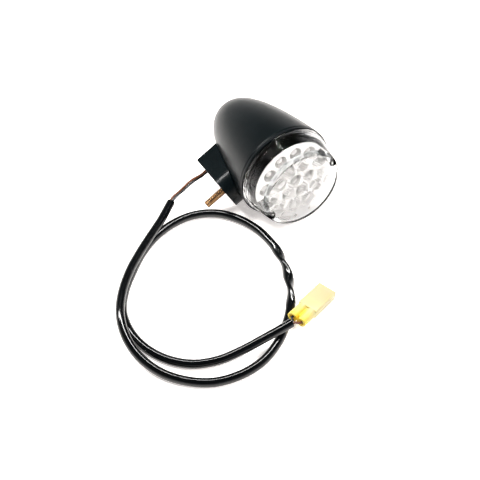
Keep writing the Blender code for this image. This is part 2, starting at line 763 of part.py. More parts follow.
def main():
    black_plastic = new_material("black_plastic", (0.02, 0.022, 0.025), 0.35)
    housing_black = new_material("housing_black", (0.025, 0.028, 0.032), 0.3)
    clear = new_material("clear_lens", (0.85, 0.88, 0.9), 0.05)
    rubber = new_material("gasket_rubber", (0.03, 0.03, 0.03), 0.7)
    white = new_material("reflector_silver", (0.8, 0.8, 0.78), 0.2, 0.9)
    board = new_material("board_white", (0.7, 0.72, 0.7), 0.6)
    led = new_material("led_clear", (0.9, 0.85, 0.7), 0.1)
    brass = new_material("zinc_yellow", (0.55, 0.38, 0.12), 0.35, 1.0)
    steel = new_material("screw_black", (0.05, 0.05, 0.05), 0.4, 0.8)
    brown = new_material("wire_brown", (0.18, 0.06, 0.02), 0.4)
    black = new_material("wire_black", (0.01, 0.01, 0.01), 0.4)
    sleeve = new_material("sleeve_black", (0.008, 0.008, 0.01), 0.2)
    make_housing(housing_black)
    make_rim_gasket(rubber)
    make_lens(clear)
    for side, x in (("left", -SCREW_X), ("right", SCREW_X)):
        make_lens_screw(side, x, steel)
    make_lens_carrier(black_plastic)
    make_reflector(white)
    make_circuit_board(board)
    make_leds(led)
    make_board_components(new_material("resistor_beige", (0.6, 0.5, 0.35), 0.5), black_plastic)
    make_stem(black_plastic)
    make_mounting_bolt(brass)
    make_bolt_washer(brass)
    for number, y in ((1, STEM_SCREW_Y), (2, -STEM_SCREW_Y)):
        make_stem_screw(number, y, steel)
    make_grommet(rubber)
    make_inner_wires(brown, black)
    make_outer_wires(brown, black)
    make_sleeve(sleeve)
    make_wire_tails(brown, black)
    make_connector(new_material("connector_yellow", (0.85, 0.78, 0.3), 0.4))
    make_terminals(brass)


main()
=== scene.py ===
"""Looks for the motorcycle turn signal indicator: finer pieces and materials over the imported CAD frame.

Metres, in the CAD model's own frame. Lamp pieces are modelled in the lamp's frame, as in the CAD source:
z runs along the lamp's axis towards the lens, with 0 at the housing's rim; -x runs down the stem; y is the
top side.
"""

from math import atan2, ceil, cos, exp, hypot, pi, radians, sin, tan

import bmesh
import bpy
from mathutils import Matrix, Vector


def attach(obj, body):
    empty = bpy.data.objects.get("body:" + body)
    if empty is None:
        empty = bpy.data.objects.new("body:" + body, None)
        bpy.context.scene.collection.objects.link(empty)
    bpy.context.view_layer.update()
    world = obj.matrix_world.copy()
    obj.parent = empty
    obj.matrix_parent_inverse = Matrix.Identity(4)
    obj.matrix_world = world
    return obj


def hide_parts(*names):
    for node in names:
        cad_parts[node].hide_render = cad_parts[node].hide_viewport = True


MM = 0.001
LAMP_BODY = "lamp_body"

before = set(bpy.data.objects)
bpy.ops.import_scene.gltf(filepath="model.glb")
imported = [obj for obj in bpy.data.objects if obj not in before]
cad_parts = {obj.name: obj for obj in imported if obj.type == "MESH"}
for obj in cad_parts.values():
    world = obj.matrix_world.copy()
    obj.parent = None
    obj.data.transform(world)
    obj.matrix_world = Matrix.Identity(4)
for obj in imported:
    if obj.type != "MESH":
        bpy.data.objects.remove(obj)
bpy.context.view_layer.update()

# ---------------- dimensions

RIM_RADIUS = 31.5 * MM
HOUSING_LENGTH = 72.0 * MM
BULLET_P = 1.2
BULLET_Q = 2.9
WALL = 2.6 * MM
SEAT_RADIUS = 30.2 * MM
SEAT_DEPTH = 3.0 * MM
GASKET_BORE = 28.9 * MM
LENS_HEIGHT = 20.6 * MM
LENS_FACE_RADIUS = 23.8 * MM  # of the patterned inner face
LENS_FACE_DEPTH = 2.5 * MM
LENS_FACE_ZONE = (17.2 * MM, 19.4 * MM)  # heights that hold the inner face
CUSHION_DEPTH = 0.3 * MM
CUSHION_RADIUS = 4.8 * MM
SCREW_X = 25.6 * MM
WELL_RADIUS = 3.6 * MM
WELL_BORE = 2.7 * MM
WELL_FLOOR = 9.5 * MM
WELL_FOOT = 3.2 * MM
STEM_START = 17 * MM
STEM_END = 37.0 * MM
STEM_HALF_WIDTH = 12.6 * MM
STEM_BACK = -46.0 * MM
STUD_Z = -22.0 * MM
STUD_RADIUS = 2.45 * MM
STUD_BORE = 2.8  # in mm
STUD_END = 51.2 * MM
WIRE_HOLE_RADIUS = 2.6  # in mm
WIRE_MOUTH_RADIUS = 3.4  # in mm, where the grommet sits
WIRE_MOUTH_FLOOR = 33.6  # in mm
WIRE_HOLE_Y = 3.0 * MM
WIRE_HOLE_Z = -41.3 * MM
WIRE_RADIUS = 0.75 * MM
WIRE_SPACING = 0.85 * MM
WIRE_BEND = ((-39.5, 13.5, 12.3), (-47.0, 11.2, 11.0))  # between the stem and the sleeve, in mm
SLEEVE_RADIUS = 2.7 * MM
SLEEVE_WALL = 0.5 * MM
CORD_STEP = 2.2 * MM
PINCH_AT = 262 * MM  # the middle of the pinched stretch, along the sleeve
PINCH_HALF_LENGTH = 24 * MM
PINCH_FLATNESS = 0.25
PINCH_SHRINK = 0.09
PINCH_TURN = 0.4  # of the flat section about the sleeve, in radians
PINCH_LIFT = 0.35 * MM
HALF_TWIST_LENGTH = 20 * MM
OUTER_RING = (12, 19.8 * MM, 0.0)
INNER_RING = (6, 9.6 * MM, radians(30.0))
LED_RADIUS = 2.45 * MM
BOWL_RADIUS = 4.2 * MM
BOWL_FLOOR_RADIUS = 2.95 * MM
REFLECTOR_BOTTOM = 2.5 * MM
REFLECTOR_TOP = 9.0 * MM
REFLECTOR_RADIUS = 24.6 * MM
REFLECTOR_FLANGE = 26.2 * MM
NOTCH_APEX = 15.0 * MM
BOARD_TOP = 1.3 * MM
FLUTE_PITCH = 1.3 * MM
FLUTE_DEPTH = 0.1 * MM
FLUTE_PATCH = 8.0 * MM
CONNECTOR_LENGTH = 32.0 * MM
CONNECTOR_WIDTH = 12.4 * MM
CONNECTOR_HEIGHT = 5.8 * MM
BARREL_LENGTH = 10.5 * MM
BARREL_WIDTH = 5.6 * MM
POLE_OFFSET = 3.1 * MM

LAMP = (
    Matrix.Translation(Vector((7.2, -24.85, 31.42)) * MM)
    @ Matrix.Rotation(radians(-5.0), 4, "X")
    @ Matrix.Rotation(radians(-26.15), 4, "Y")
    @ Matrix.Rotation(pi / 2, 4, "X")
)
IN_PLACE = Matrix.Identity(4)
Z_TO_X = Matrix.Rotation(pi / 2, 4, "Y")
CONNECTOR = (
    Matrix.Translation(Vector((-23.0, -103.5, 5.85)) * MM)
    @ Matrix.Rotation(radians(21.5), 4, "Z")
    @ Matrix.Rotation(radians(9.5), 4, "Y")
)

SLEEVE_ROUTE = [  # the sleeve's centre line from the stem to the connector, in mm
    (-58.0, 6.5, 9.8),
    (-70.0, -3.0, 8.9),
    (-82.0, -11.5, 8.7),
    (-94.0, -20.5, 8.8),
    (-105.5, -30.5, 9.0),
    (-115.5, -42.0, 9.0),
    (-123.0, -55.0, 8.6),
    (-126.5, -69.5, 7.3),
    (-125.5, -84.5, 5.4),
    (-119.5, -98.5, 3.6),
    (-110.0, -109.5, 2.8),
    (-97.5, -118.0, 2.8),
    (-83.0, -121.5, 2.8),
    (-68.0, -120.5, 2.8),
    (-54.0, -114.5, 2.8),
    (-42.0, -105.5, 2.8),
    (-32.0, -94.5, 2.8),
    (-24.5, -81.5, 2.8),
    (-19.5, -67.0, 2.8),
    (-17.5, -52.0, 2.8),
    (-19.0, -37.0, 2.8),
    (-24.5, -23.0, 2.8),
    (-34.0, -11.5, 2.8),
    (-47.5, -5.0, 2.8),
    (-62.5, -4.5, 2.8),
    (-77.0, -8.5, 2.8),
    (-90.0, -16.0, 2.8),
    (-101.5, -26.0, 2.8),
    (-112.0, -37.0, 2.8),
    (-119.5, -49.5, 2.8),
    (-122.0, -64.0, 2.8),
    (-119.5, -79.0, 2.8),
    (-112.5, -92.0, 2.8),
    (-101.5, -102.0, 2.8),
    (-88.0, -107.5, 3.5),
    (-73.5, -109.5, 5.2),
    (-59.5, -110.5, 8.0),
    (-50.5, -110.4, 8.6),
    (-41.5, -109.8, 8.7),
]

# ---------------- camera


def add_object(name, data):
    """A new object, linked to the scene."""
    obj = bpy.data.objects.new(name, data)
    bpy.context.scene.collection.objects.link(obj)
    return obj


def make_camera():
    """The main view, from above and in front of the lens and a little to its left."""
    aim = Vector((-31.9, -35.6, 0.0)) * MM
    distance = 561  # in mm
    azimuth = radians(-30.4)
    elevation = radians(50.09)
    back = Vector((sin(azimuth) * cos(elevation), -cos(azimuth) * cos(elevation), sin(elevation)))
    data = bpy.data.cameras.new("camera")
    data.sensor_width = 36.0
    data.angle = radians(30.0)
    data.clip_start = 0.02
    data.clip_end = 20.0
    camera = add_object("camera", data)
    camera.location = aim + back * distance * MM
    camera.rotation_euler = (pi / 2 - elevation, 0.0, azimuth)
    bpy.context.scene.camera = camera


make_camera()

# ---------------- material tools


MATERIALS = {}


class Nodes:
    """A Principled material, kept in MATERIALS by its name, and short ways to add nodes to it."""

    def __init__(self, name, colour, roughness, **sockets):
        material = bpy.data.materials.new(name)
        material.use_nodes = True
        MATERIALS[name] = material
        self.tree = material.node_tree
        self.shader = self.tree.nodes["Principled BSDF"]
        self.shader.inputs["Base Color"].default_value = (*colour, 1.0)
        self.shader.inputs["Roughness"].default_value = roughness
        for key, value in sockets.items():
            self.shader.inputs[key.replace("_", " ")].default_value = value
        self.place = None

    def node(self, kind, **values):
        """Adds a node; a value whose name is an input goes there, as a link or a constant."""
        node = self.tree.nodes.new(kind)
        for key, value in values.items():
            label = key.replace("_", " ")
            match = [s for s in node.inputs if s.name.lower() == label.lower() and s.enabled]
            if not match:
                setattr(node, key, value)
            elif isinstance(value, bpy.types.NodeSocket):
                self.tree.links.new(value, match[0])
            else:
                match[0].default_value = value
        return node

    def position(self, axes=None, scale=(1.0, 1.0, 1.0)):
        """Coordinates in metres: the model's own, or those in other axes, each then multiplied by a scale."""
        if self.place is None:
            self.place = self.node("ShaderNodeTexCoord").outputs["Object"]
        if axes is None:
            return self.place
        inverse = axes.inverted()
        turned = self.node(
            "ShaderNodeMapping", vector=self.place, location=inverse.translation, rotation=inverse.to_euler()
        )
        return self.node("ShaderNodeMapping", vector=turned.outputs[0], scale=scale).outputs[0]

    def noise(self, scale, detail=3.0, roughness=0.5, stretch=None):
        """Noise with that many features per metre."""
        where = self.position()
        if stretch is not None:
            where = self.node("ShaderNodeMapping", vector=where, scale=stretch).outputs[0]
        noise = self.node("ShaderNodeTexNoise", vector=where, scale=scale, detail=detail, roughness=roughness)
        return noise.outputs[0]

    def coordinate(self, index, axes):
        """One of the three coordinates in other axes, in metres."""
        return self.node("ShaderNodeSeparateXYZ", vector=self.position(axes)).outputs[index]

    def ramp(self, factor, stops):
        """Colours or greys at positions between 0 and 1."""
        ramp = self.node("ShaderNodeValToRGB", fac=factor)
        elements = ramp.color_ramp.elements
        while len(elements) < len(stops):
            elements.new(0.5)
        for element, (at, value) in zip(elements, stops):
            element.position = at
            element.color = (*value, 1.0) if isinstance(value, tuple) else (value, value, value, 1.0)
        return ramp.outputs[0]

    def mix(self, factor, a, b):
        node = self.tree.nodes.new("ShaderNodeMix")
        node.data_type = "RGBA"
        for index, value in ((0, factor), (6, a), (7, b)):
            if isinstance(value, bpy.types.NodeSocket):
                self.tree.links.new(value, node.inputs[index])
            else:
                node.inputs[index].default_value = (*value, 1.0) if isinstance(value, tuple) else value
        return node.outputs[2]

    def math(self, operation, a, b=0.0):
        node = self.tree.nodes.new("ShaderNodeMath")
        node.operation = operation
        for socket, value in zip(node.inputs, (a, b)):
            if isinstance(value, bpy.types.NodeSocket):
                self.tree.links.new(value, socket)
            else:
                socket.default_value = value
        return node.outputs[0]

    def colour(self, socket):
        self.tree.links.new(socket, self.shader.inputs["Base Color"])

    def rough(self, factor, low, high):
        node = self.node("ShaderNodeMapRange", value=factor, to_min=low, to_max=high)
        self.tree.links.new(node.outputs[0], self.shader.inputs["Roughness"])

    def bump(self, height, distance, strength=1.0):
        """Bump of that depth in metres; a second call adds to the first."""
        before = self.shader.inputs["Normal"]
        bump = self.node("ShaderNodeBump", height=height, distance=distance, strength=strength)
        if before.is_linked:
            self.tree.links.new(before.links[0].from_socket, bump.inputs["Normal"])
        self.tree.links.new(bump.outputs[0], before)


def moulded_black(name, tint, low, high, grain, specular=0.5):
    """Black moulded plastic: a faint orange peel, handling marks and a little dust in its colour."""
    m = Nodes(name, tint, (low + high) / 2, Specular_IOR_Level=specular)
    cloud = m.noise(70.0, 4.0, 0.6)
    lighter = tuple(c * 1.6 + 0.0004 for c in tint)
    m.colour(m.mix(m.ramp(cloud, [(0.35, 0.0), (0.75, 1.0)]), tint, lighter))
    smears = m.noise(260.0, 5.0, 0.65, stretch=(1.0, 1.0, 0.25))
    m.rough(smears, low, high)
    m.bump(m.noise(grain, 2.0, 0.4), 0.00002)


def make_materials():
    moulded_black("housing_black", (0.0008, 0.0018, 0.0023), 0.26, 0.36, 1500.0, 0.13)
    moulded_black("stem_black", (0.0016, 0.003, 0.0036), 0.18, 0.26, 3200.0, 0.18)
    moulded_black("carrier_black", (0.0003, 0.0003, 0.0004), 0.4, 0.55, 2600.0, 0.05)
    moulded_black("seal_rubber", (0.014, 0.014, 0.014), 0.6, 0.75, 4200.0, 0.35)

    clear = (0.99, 0.99, 0.99)
    dim = (0.08, 0.08, 0.08, 1.0)
    m = Nodes("lens_clear", clear, 0.02, IOR=1.4, Transmission_Weight=1.0, Specular_Tint=dim)
    m.rough(m.noise(180.0, 3.0), 0.01, 0.05)
    m.bump(m.noise(420.0, 2.0), 0.000006)
    # Flutes in a checker of two directions, on the level parts of the inner face only.
    flat = m.position(LAMP @ Matrix.Rotation(0.3, 4, "Z"), (1.0, 1.0, 0.0))
    patches = m.node("ShaderNodeTexChecker", vector=flat, scale=1 / FLUTE_PATCH).outputs[1]
    bands = 2 * pi / (20 * FLUTE_PITCH)
    flutes = []
    for way in ("X", "Y"):
        wave = m.node("ShaderNodeTexWave", vector=flat, scale=bands, bands_direction=way, wave_profile="TRI")
        flutes.append(wave.outputs[1])
    height = m.coordinate(2, LAMP)
    above = m.math("GREATER_THAN", height, LENS_FACE_ZONE[0])
    inner = m.math("MULTIPLY", above, m.math("LESS_THAN", height, LENS_FACE_ZONE[1]))
    normal = m.node("ShaderNodeTexCoord").outputs["Normal"]
    level = m.node("ShaderNodeVectorMath", operation="DOT_PRODUCT", vector=normal)
    level.inputs[1].default_value = LAMP.to_3x3().col[2]
    facing = m.math("GREATER_THAN", m.math("ABSOLUTE", level.outputs["Value"], 0.0), 0.8)
    m.bump(m.math("MULTIPLY", m.mix(patches, *flutes), m.math("MULTIPLY", inner, facing)), FLUTE_DEPTH)
    # Painted grey shade on the face's edge, where it is seen through more plastic.
    radius = m.node("ShaderNodeVectorMath", operation="LENGTH", vector=flat).outputs["Value"]
    # shoulder masks the painted grey shade at the face's edge
    shoulder = m.ramp(m.math("MULTIPLY", radius, 30.0), [(0.745, 0.0), (0.765, 1.0)])
    m.colour(m.mix(m.math("MULTIPLY", shoulder, above), clear, (0.55, 0.59, 0.61)))

    m = Nodes("reflector_silver", (0.92, 0.9, 0.89), 0.3, Metallic=0.25)
    m.colour(m.ramp(m.noise(220.0, 3.0), [(0.3, (0.88, 0.865, 0.86)), (0.7, (0.96, 0.95, 0.94))]))
    m.rough(m.noise(600.0, 3.0), 0.22, 0.4)
    m.bump(m.noise(1500.0, 2.0), 0.00001)

    m = Nodes("board_white", (0.82, 0.83, 0.8), 0.4)
    tracks = m.node("ShaderNodeTexVoronoi", vector=m.position(), scale=260.0, feature="DISTANCE_TO_EDGE")
    tracks = tracks.outputs[0]
    m.colour(m.mix(m.ramp(tracks, [(0.04, 1.0), (0.09, 0.0)]), (0.84, 0.85, 0.82), (0.62, 0.66, 0.6)))
    m.rough(m.noise(900.0), 0.3, 0.5)
    m.bump(tracks, 0.00003, 0.5)

    m = Nodes("led_epoxy", (0.98, 0.97, 0.96), 0.03, IOR=1.45, Transmission_Weight=0.15)
    m.rough(m.noise(900.0), 0.01, 0.06)
    m.bump(m.noise(700.0), 0.000008)

    m = Nodes("led_frame_silver", (0.88, 0.87, 0.84), 0.25, Metallic=1.0)
    m.rough(m.noise(2500.0), 0.18, 0.4)
    m.bump(m.noise(4000.0), 0.00001)

    m = Nodes("led_chip_amber", (0.9, 0.42, 0.08), 0.45)
    m.colour(m.ramp(m.noise(1600.0), [(0.35, (0.85, 0.36, 0.06)), (0.65, (0.98, 0.62, 0.2))]))
    m.rough(m.noise(1800.0), 0.35, 0.6)

    m = Nodes("screw_black", (0.008, 0.008, 0.009), 0.35, Metallic=0.6)
    m.colour(m.ramp(m.noise(900.0, 4.0), [(0.4, (0.005, 0.005, 0.006)), (0.75, (0.03, 0.028, 0.027))]))
    m.rough(m.noise(1500.0, 4.0), 0.25, 0.5)
    m.bump(m.noise(2500.0), 0.00001)

    m = Nodes("zinc_yellow", (0.72, 0.55, 0.26), 0.3, Metallic=1.0)
    patina = m.noise(420.0, 5.0, 0.65)
    golds = [(0.3, (0.2, 0.105, 0.045)), (0.5, (0.27, 0.15, 0.07)), (0.72, (0.38, 0.25, 0.14))]
    m.colour(m.ramp(patina, golds))
    m.rough(patina, 0.16, 0.34)
    m.bump(m.noise(3000.0, 3.0), 0.000015)

    m = Nodes("screw_steel", (0.6, 0.6, 0.61), 0.35, Metallic=1.0)
    m.colour(m.ramp(m.noise(800.0, 4.0), [(0.3, (0.48, 0.48, 0.5)), (0.7, (0.7, 0.7, 0.71))]))
    m.rough(m.noise(1300.0, 4.0), 0.28, 0.48)
    m.bump(m.noise(3000.0), 0.00001)

    m = Nodes("component_body", (0.62, 0.5, 0.33), 0.5)
    rings = m.node("ShaderNodeTexWave", vector=m.position(), scale=120.0, bands_direction="Z", distortion=0.0)
    bands = [(0.62, (0.62, 0.5, 0.33)), (0.7, (0.35, 0.12, 0.03)), (0.9, (0.05, 0.04, 0.04))]
    m.colour(m.ramp(rings.outputs[0], bands))
    m.rough(m.noise(900.0), 0.4, 0.6)

    for name, dark, light in (
        ("wire_brown", (0.075, 0.026, 0.012), (0.15, 0.055, 0.025)),
        ("wire_black", (0.009, 0.009, 0.01), (0.022, 0.022, 0.024)),
    ):
        m = Nodes(name, dark, 0.32, Specular_IOR_Level=0.3)
        m.colour(m.mix(m.noise(300.0, 3.0), dark, light))
        m.rough(m.noise(700.0, 4.0), 0.24, 0.42)
        m.bump(m.noise(1300.0, 3.0), 0.00003)

    m = Nodes("sleeve_black", (0.003, 0.003, 0.004), 0.1, Specular_IOR_Level=0.4)
    m.colour(m.mix(m.noise(120.0, 4.0), (0.0006, 0.0008, 0.001), (0.002, 0.0025, 0.003)))
    m.rough(m.noise(420.0, 5.0, 0.6), 0.07, 0.14)
    m.bump(m.noise(260.0, 3.0), 0.00001)

    m = Nodes(
        "connector_yellow",
        (0.93, 0.86, 0.42),
        0.35,
        Subsurface_Weight=0.35,
        Subsurface_Scale=0.003,
        Subsurface_Radius=(1.0, 0.85, 0.35),
        Transmission_Weight=0.12,
        IOR=1.5,
    )
    # Painted shade: a deeper yellow in the groove between the barrels, where shade falls. Yellow at the rear
    # and nearly ivory in front.
    along = m.coordinate(0, CONNECTOR)
    fade = m.node("ShaderNodeMapRange", value=along, from_min=-0.016, from_max=0.004).outputs[0]
    cloud = m.noise(160.0, 3.0)
    mixed = m.math("ADD", fade, m.math("MULTIPLY", m.math("SUBTRACT", cloud, 0.5), 0.45))
    across = m.math("ABSOLUTE", m.coordinate(1, CONNECTOR))
    middle = m.node("ShaderNodeMapRange", value=across, from_min=0.0004, from_max=0.002).outputs[0]
    rear = m.node("ShaderNodeMapRange", value=along, from_min=-0.004, from_max=-0.008).outputs[0]
    # groove masks the painted shade between the barrels at the rear
    groove = m.math("MULTIPLY", m.math("SUBTRACT", 1.0, middle), rear)
    lifted = m.math("ADD", m.math("MULTIPLY", mixed, 0.7), 0.3)
    shade = m.math("SUBTRACT", lifted, m.math("MULTIPLY", groove, 0.3))
    yellows = [
        (0.02, (0.72, 0.47, 0.015)),
        (0.3, (0.74, 0.55, 0.07)),
        (0.65, (0.54, 0.47, 0.22)),
        (1.0, (0.48, 0.42, 0.24)),
    ]
    m.colour(m.ramp(shade, yellows))
    m.rough(m.noise(700.0, 3.0), 0.28, 0.44)
    m.bump(m.noise(900.0, 3.0), 0.00002)

    m = Nodes("terminal_brass", (0.78, 0.6, 0.3), 0.3, Metallic=1.0)
    m.colour(m.ramp(m.noise(900.0, 4.0), [(0.3, (0.62, 0.45, 0.2)), (0.7, (0.85, 0.68, 0.38))]))
    m.rough(m.noise(1200.0), 0.24, 0.42)

    glow = {"Emission_Color": (1.0, 0.95, 0.93, 1.0), "Emission_Strength": 0.5}
    Nodes("floor_white", (0.93, 0.92, 0.91), 0.6, Specular_IOR_Level=0.2, **glow)


make_materials()

# ---------------- mesh tools


def mesh_of(work, name):
    """The clean mesh of a bmesh, which is freed."""
    bmesh.ops.remove_doubles(work, verts=work.verts, dist=0.0005 * MM)
    bmesh.ops.recalc_face_normals(work, faces=work.faces)
    mesh = bpy.data.meshes.new(name)
    work.to_mesh(mesh)
    work.free()
    return mesh


def finish_piece(name, shape, material, matrix=LAMP, body=LAMP_BODY, replaces=(), slot=None, sharp=32.0):
    """Links a mesh or bmesh, put in place by a matrix, as a piece that rides on a body.

    The slot argument is not used.
    """
    slot = slot or material
    mesh = mesh_of(shape, name) if isinstance(shape, bmesh.types.BMesh) else shape
    mesh.transform(matrix)
    mesh.materials.append(MATERIALS[material])
    mesh.shade_smooth()
    mesh.set_sharp_from_angle(angle=radians(sharp))
    piece = add_object(name, mesh)
    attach(piece, body)
    if replaces:
        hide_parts(*replaces)
    return piece


def absorb(work, other):
    """Moves the faces of another bmesh into work."""
    part = bpy.data.meshes.new("part")
    other.to_mesh(part)
    other.free()
    work.from_mesh(part)
    bpy.data.meshes.remove(part)


def bridge(work, a, b):
    """Faces between two closed rings of as many vertices."""
    for k in range(len(a)):
        n = (k + 1) % len(a)
        work.faces.new((a[k], a[n], b[n], b[k]))


def prism(work, outline, bottom, top):
    """A flat outline of (x, y) points, drawn out along z."""
    low = [work.verts.new((x, y, bottom)) for x, y in outline]
    high = [work.verts.new((x, y, top)) for x, y in outline]
    work.faces.new(low)
    work.faces.new(high)
    bridge(work, low, high)


def bevel(work, edges, radius, segments):
    bmesh.ops.bevel(
        work, geom=edges, offset=radius, offset_type="OFFSET", segments=segments, profile=0.5, affect="EDGES"
    )


def fillet(profile, radii, steps=4):
    """Rounds the corners of an open profile; radii maps a corner's index to its radius in millimetres."""
    out = []
    last = len(profile) - 1
    for i, point in enumerate(profile):
        if i not in radii or i in (0, last):
            out.append(point)
            continue
        corner = Vector(point)
        one = Vector(profile[i - 1]) - corner
        two = Vector(profile[i + 1]) - corner
        angle = one.angle(two)
        reach = min(radii[i] * MM / tan(angle / 2), one.length * 0.49, two.length * 0.49)
        start = corner + one.normalized() * reach
        end = corner + two.normalized() * reach
        for k in range(steps + 1):
            t = k / steps
            p = start * (1 - t) ** 2 + corner * 2 * t * (1 - t) + end * t**2
            out.append((p.x, p.y))
    return out


def revolve(work, profile, segments, closed=False, matrix=None):
    """Adds a profile of (radius, height) points, turned about z, to a bmesh."""
    rings = []
    for radius, height in profile:
        if radius < 1e-7:
            rings.append([work.verts.new((0.0, 0.0, height))])
            continue
        angles = [2 * pi * k / segments for k in range(segments)]
        rings.append([work.verts.new((radius * cos(a), radius * sin(a), height)) for a in angles])
    pairs = list(zip(rings, rings[1:]))
    if closed:
        pairs.append((rings[-1], rings[0]))
    for upper, lower in pairs:
        for k in range(segments):
            n = (k + 1) % segments
            high, low = len(upper), len(lower)
            loop = list(dict.fromkeys([upper[k % high], upper[n % high], lower[n % low], lower[k % low]]))
            if len(loop) > 2:
                work.faces.new(loop)
    if matrix is not None:
        bmesh.ops.transform(work, matrix=matrix, verts=[v for ring in rings for v in ring])
    return rings


def turned(name, profile, segments, material, closed=False, **more):
    """A piece that is one turned profile."""
    work = bmesh.new()
    revolve(work, profile, segments, closed)
    finish_piece(name, work, material, **more)


def smooth_path(points, step):
    """Points about a step apart on a smooth curve through the given points (Catmull-Rom, chord length)."""
    points = [Vector(p) for p in points]
    ends = [2 * points[0] - points[1], *points, 2 * points[-1] - points[-2]]
    path = []
    for p0, p1, p2, p3 in zip(ends, ends[1:], ends[2:], ends[3:]):
        chord = (p2 - p1).length
        before = (p1 - p0).length
        after = (p3 - p2).length
        start = ((p1 - p0) / before - (p2 - p0) / (before + chord) + (p2 - p1) / chord) * chord
        finish = ((p2 - p1) / chord - (p3 - p1) / (chord + after) + (p3 - p2) / after) * chord
        count = max(1, round(chord / step))
        for i in range(count):
            t = i / count
            path.append(
                p1 * (2 * t**3 - 3 * t**2 + 1)
                + start * (t**3 - 2 * t**2 + t)
                + p2 * (3 * t**2 - 2 * t**3)
                + finish * (t**3 - t**2)
            )
    return [*path, points[-1]]


def distances(path):
    """How far each point of a path is from its start, along it."""
    out = [0.0]
    for a, b in zip(path, path[1:]):
        out.append(out[-1] + (b - a).length)
    return out


def frames(path):
    """(tangent, side, up) along a path; side stays level where it can."""
    out = []
    side = None
    for i, point in enumerate(path):
        tangent = (path[min(i + 1, len(path) - 1)] - path[max(i - 1, 0)]).normalized()
        if side is None:
            side = tangent.cross(Vector((0, 0, 1))).normalized()
        side = (side - tangent * side.dot(tangent)).normalized()
        out.append((tangent, side, side.cross(tangent)))
    return out


def sweep(work, path, section, count, inner=None):
    """A bar along a path. section(i, turn) gives a distance from the path; inner is the same for a bore."""
    local = frames(path)

    def ring(i, shape):
        tangent, side, up = local[i]
        turns = [2 * pi * k / count for k in range(count)]
        return [work.verts.new(path[i] + (side * cos(t) + up * sin(t)) * shape(i, t)) for t in turns]

    def skin(shape):
        rings = [ring(i, shape) for i in range(len(path))]
        for a, b in zip(rings, rings[1:]):
            bridge(work, a, b)
        return rings

    outside = skin(section)
    if inner is None:
        work.faces.new(outside[0])
        work.faces.new(outside[-1])
    else:
        inside = skin(inner)
        bridge(work, outside[0], inside[0])
        bridge(work, outside[-1], inside[-1])


def ring_places(ring):
    """The (x, y) places of a ring of LEDs: how many, at what radius, from what angle."""
    count, radius, first = ring
    turns = [first + 2 * pi * i / count for i in range(count)]
    return [(radius * cos(turn), radius * sin(turn)) for turn in turns]


def led_places():
    """The outer ring without its two places on the x axis, then the inner ring and the middle."""
    outer = [(x, y) for x, y in ring_places(OUTER_RING) if abs(y) > MM]
    return [*outer, *ring_places(INNER_RING), (0.0, 0.0)]


def solid(work, name):
    """A hidden helper object for a Boolean."""
    return add_object(name, mesh_of(work, name))


def helper(name, build, *args):
    """A Boolean helper made by a function that fills a bmesh."""
    work = bmesh.new()
    build(work, *args)
    return solid(work, name)


def carve(name, base, steps):
    """The mesh of base after Booleans with (operation, helper) pairs; every helper is removed."""
    for i, (operation, helper) in enumerate(steps):
        modifier = base.modifiers.new(f"step_{i}", "BOOLEAN")
        modifier.operation = operation
        modifier.solver = "EXACT"
        modifier.object = helper
    bpy.context.view_layer.update()
    mesh = bpy.data.meshes.new_from_object(base.evaluated_get(bpy.context.evaluated_depsgraph_get()))
    mesh.name = name
    for obj in [base, *[helper for _, helper in steps]]:
        bpy.data.objects.remove(obj, do_unlink=True)
    return mesh


# ---------------- cords


def make_sleeve():
    """The sleeve is a soft hollow tube: round for most of its length, pinched and twisted on one stretch."""

    def pinch(s):
        return exp(-(((s - PINCH_AT) / PINCH_HALF_LENGTH) ** 4))

    path = smooth_path([Vector(p) * MM for p in SLEEVE_ROUTE], CORD_STEP)
    along = distances(path)
    for point, s in zip(path, along):
        point.z += PINCH_LIFT * pinch(s)
    local = frames(path)

    def outline(i, turn, radius):
        s = along[i]
        waviness = 0.01 * sin(s * 190.0) * sin(s * 73.0)
        flat = PINCH_FLATNESS * pinch(s) + waviness
        angle = turn - PINCH_TURN - pi * (s - PINCH_AT) / HALF_TWIST_LENGTH * min(1.0, pinch(s) * 8)
        size = radius * (1 - PINCH_SHRINK * pinch(s))
        return size * (1 + flat * cos(2 * angle) + 0.2 * flat * cos(4 * angle))

    def outer(i, turn):
        return outline(i, turn, SLEEVE_RADIUS)

    def bore(i, turn):
        return outline(i, turn, SLEEVE_RADIUS - SLEEVE_WALL)

    work = bmesh.new()
    sweep(work, path, outer, 28, inner=bore)
    piece = finish_piece(
        "cable_sleeve_skin", work, "sleeve_black", IN_PLACE, replaces=["cable_sleeve"], sharp=60
    )
    return piece, path, along[-1], local


